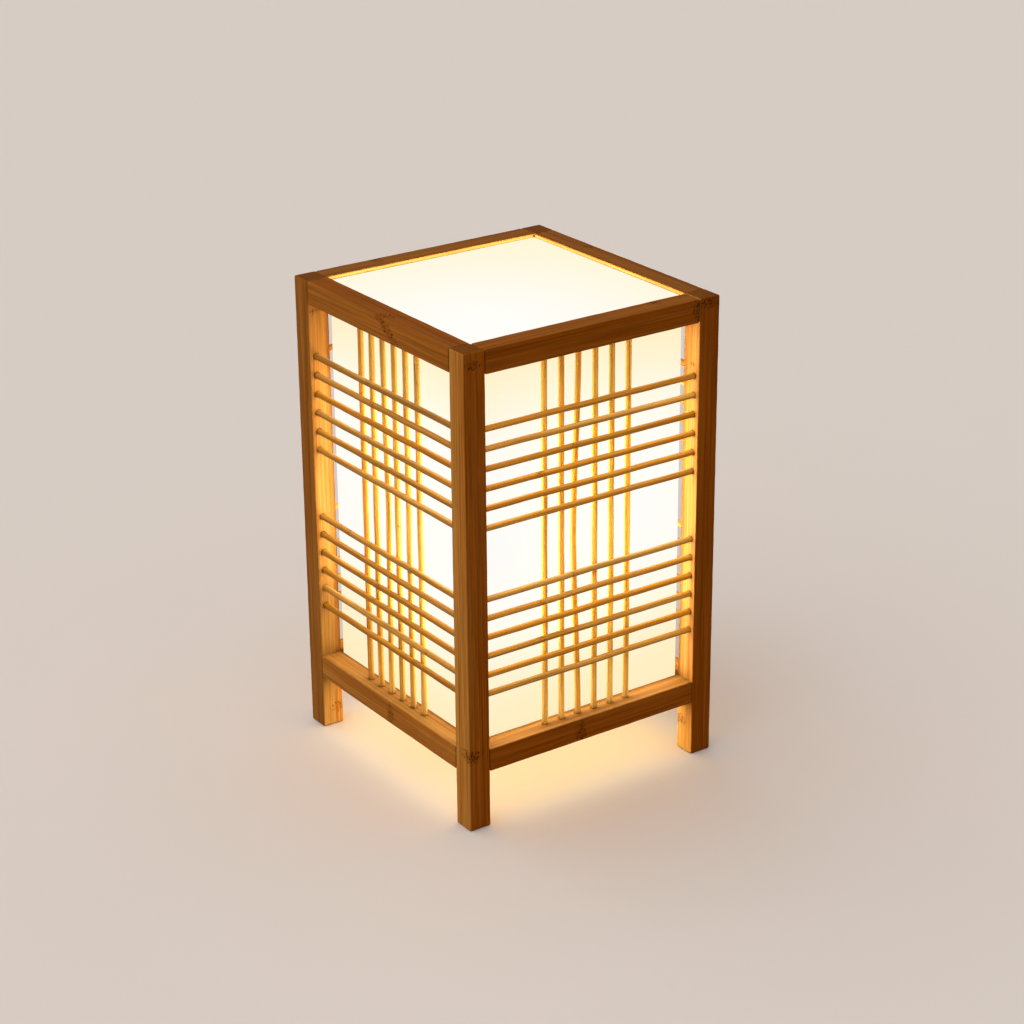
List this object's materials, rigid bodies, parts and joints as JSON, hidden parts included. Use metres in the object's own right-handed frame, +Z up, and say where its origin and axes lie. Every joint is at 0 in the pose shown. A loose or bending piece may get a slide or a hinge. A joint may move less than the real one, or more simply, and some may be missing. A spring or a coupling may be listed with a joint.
{
  "type": "bamboo table lamp",
  "caption": "Square bamboo table lamp: posts and rails with lattices of thin rods over glowing white sheets, and a screw-in bulb on a bar inside.",
  "frame": {"origin": "on the floor at the middle of the square plan, under the bulb's axis", "axes": "+Z up, the front side faces -Y, +X to the right seen from the front"},
  "size_m": [0.18, 0.18, 0.296],
  "materials": {
    "bamboo": "caramel bamboo, satin lacquer",
    "rod_bamboo": "round bamboo rod, satin",
    "white_sheet": "translucent white sheet, lit from behind",
    "holder_plastic": "black moulded",
    "ceramic": "unglazed white",
    "brass": "stamped",
    "steel": "plated",
    "bulb_plastic": "white moulded",
    "circuit_board": "white board",
    "opal": "opal diffuser, lit"
  },
  "bodies": {
    "frame": {"post_front_left": "bamboo", "post_front_right": "bamboo", "post_back_right": "bamboo", "post_back_left": "bamboo", "top_rail_front": "bamboo", "bottom_rail_front": "bamboo", "lattice_front": "rod_bamboo", "sheet_front": "white_sheet", "top_rail_right": "bamboo", "bottom_rail_right": "bamboo", "lattice_right": "rod_bamboo", "sheet_right": "white_sheet", "top_rail_back": "bamboo", "bottom_rail_back": "bamboo", "lattice_back": "rod_bamboo", "sheet_back": "white_sheet", "top_rail_left": "bamboo", "bottom_rail_left": "bamboo", "lattice_left": "rod_bamboo", "sheet_left": "white_sheet", "top_sheet": "white_sheet", "holder_bar": "bamboo", "threaded_nipple": "steel", "lock_nut": "steel", "nut_washer": "steel", "holder_cap": "holder_plastic", "holder_shell": "holder_plastic", "holder_insert": "ceramic", "screw_shell": "brass", "centre_contact": "brass"},
    "bulb_tip": {"bulb_contact": "steel"},
    "bulb": {"bulb_insulator": "holder_plastic", "bulb_cap": "steel", "bulb_housing": "bulb_plastic", "led_board": "circuit_board", "bulb_globe": "opal"}
  },
  "joints": [
    {"name": "bulb_rise", "type": "slide", "parent": "frame", "child": "bulb_tip", "axis": [0, 0, 1], "range_m": [0, 0.0109]},
    {"name": "bulb_turn", "type": "hinge", "parent": "bulb_tip", "child": "bulb", "pos_m": [0, 0, 0.1], "axis": [0, 0, 1], "range_deg": [0, 1080]}
  ],
  "couplings": [
    {"joint": "bulb_rise", "follows": "bulb_turn", "m_per_rad": 0.0005775}
  ]
}
